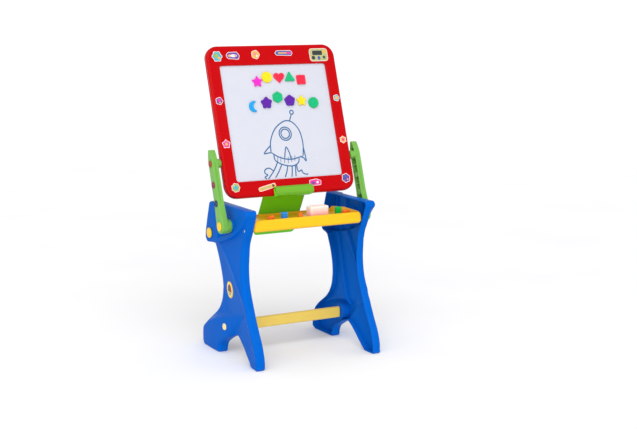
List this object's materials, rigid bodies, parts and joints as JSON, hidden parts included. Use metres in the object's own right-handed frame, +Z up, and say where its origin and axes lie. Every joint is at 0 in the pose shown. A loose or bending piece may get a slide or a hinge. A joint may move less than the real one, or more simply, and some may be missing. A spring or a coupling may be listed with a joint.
{
  "type": "kids easel",
  "caption": "Folding kids easel and desk: two blue moulded legs, swinging green arms, a red-framed dry-wipe and chalk board with magnets, a paper clip, a yellow tray and a stay plate.",
  "frame": {"origin": "on the floor, under the middle of the bounding box", "axes": "+X to the right of someone facing the writing side, +Y from the front to the back, +Z up"},
  "size_m": [0.499, 0.3707, 0.9008],
  "materials": {
    "red_frame": "glossy moulded red",
    "whiteboard": "smooth dry-wipe white, slightly blue",
    "chalkboard": "matt dark slate",
    "blue_leg": "satin moulded blue",
    "arm_green": "satin light green",
    "stay_green": "satin mid green",
    "tray_yellow": "glossy yellow",
    "bar_yellow": "satin pale yellow",
    "cap_yellow": "glossy yellow",
    "cream_plug": "glossy cream",
    "disc_red": "glossy red",
    "disc_magenta": "glossy magenta",
    "disc_navy": "glossy navy",
    "steel": "plated steel",
    "magnet_red": "glossy red",
    "magnet_yellow": "glossy yellow",
    "magnet_green": "glossy green",
    "magnet_blue": "glossy blue",
    "magnet_purple": "glossy purple",
    "magnet_magenta": "glossy magenta",
    "chalk_orange": "powdery orange",
    "eraser_pink": "translucent pink and white",
    "brick_blue": "glossy blue",
    "brick_green": "glossy green"
  },
  "bodies": {
    "stand": {"left_leg": "blue_leg", "left_badge": "cap_yellow", "left_rod_cap": "cap_yellow", "left_bar_plug": "cream_plug", "left_tray_screw": "steel", "left_hub_bolt": "steel", "right_leg": "blue_leg", "right_badge": "cap_yellow", "right_rod_cap": "cap_yellow", "right_bar_plug": "cream_plug", "right_tray_screw": "steel", "right_hub_bolt": "steel", "tray": "tray_yellow", "chalk_orange_left": "chalk_orange", "brick_blue": "brick_blue", "chalk_orange_middle": "chalk_orange", "eraser": "eraser_pink", "brick_green": "brick_green", "chalk_orange_right": "chalk_orange", "crossbar": "bar_yellow", "rear_rod": "steel"},
    "left_arm": {"left_arm": "arm_green", "left_red_disc": "disc_red", "left_magenta_disc": "disc_magenta", "left_blue_disc": "disc_navy", "left_hub_cap": "cap_yellow"},
    "right_arm": {"right_arm": "arm_green", "right_red_disc": "disc_red", "right_magenta_disc": "disc_magenta", "right_blue_disc": "disc_navy", "right_hub_cap": "cap_yellow"},
    "board": {"board_frame_front": "red_frame", "board_frame_back": "red_frame", "whiteboard_panel": "whiteboard", "chalkboard_panel": "chalkboard", "frame_screw_1": "steel", "frame_screw_2": "steel", "frame_screw_3": "steel", "frame_screw_4": "steel", "frame_screw_5": "steel", "frame_screw_6": "steel", "left_board_pin": "steel", "right_board_pin": "steel", "clip_base": "stay_green", "clip_pin": "steel", "clip_spring": "steel", "magnet_star_magenta": "magnet_magenta", "magnet_disc_yellow": "magnet_yellow", "magnet_heart_red": "magnet_red", "magnet_triangle_green": "magnet_green", "magnet_square_red": "magnet_red", "magnet_moon_blue": "magnet_blue", "magnet_flower_purple": "magnet_purple", "magnet_hexagon_green": "magnet_green", "magnet_pentagon_purple": "magnet_purple", "magnet_star_yellow": "magnet_yellow", "magnet_disc_green": "magnet_green"},
    "clip": {"clip_jaw": "arm_green"},
    "stay": {"stay_plate": "stay_green"}
  },
  "joints": [
    {"name": "left_arm_swing", "type": "hinge", "parent": "stand", "child": "left_arm", "pos_m": [-0.237, -0.038, 0.396], "axis": [1, 0, 0], "range_deg": [0, 87.2]},
    {"name": "right_arm_swing", "type": "hinge", "parent": "stand", "child": "right_arm", "pos_m": [0.237, -0.038, 0.396], "axis": [1, 0, 0], "range_deg": [0, 87.2]},
    {"name": "board_tilt", "type": "hinge", "parent": "left_arm", "child": "board", "pos_m": [-0.22, 0.01976, 0.56964], "axis": [1, 0, 0], "range_deg": [-158.8, 0]},
    {"name": "stay_fold", "type": "hinge", "parent": "stand", "child": "stay", "pos_m": [0, 0.09, 0.357], "axis": [1, 0, 0], "range_deg": [-152.7, 0]},
    {"name": "clip_open", "type": "hinge", "parent": "board", "child": "clip", "pos_m": [0, -0.02936, 0.48059], "axis": [1, 0, 0], "range_deg": [0, 25], "stiffness_Nm_per_rad": 0.3, "springref_deg": -17.19}
  ],
  "couplings": [
    {"joint": "right_arm_swing", "follows": "left_arm_swing", "ratio": 1},
    {"joint": "board_tilt", "follows": "left_arm_swing", "ratio": -1.8206},
    {"joint": "stay_fold", "follows": "left_arm_swing", "ratio": -1.75}
  ]
}
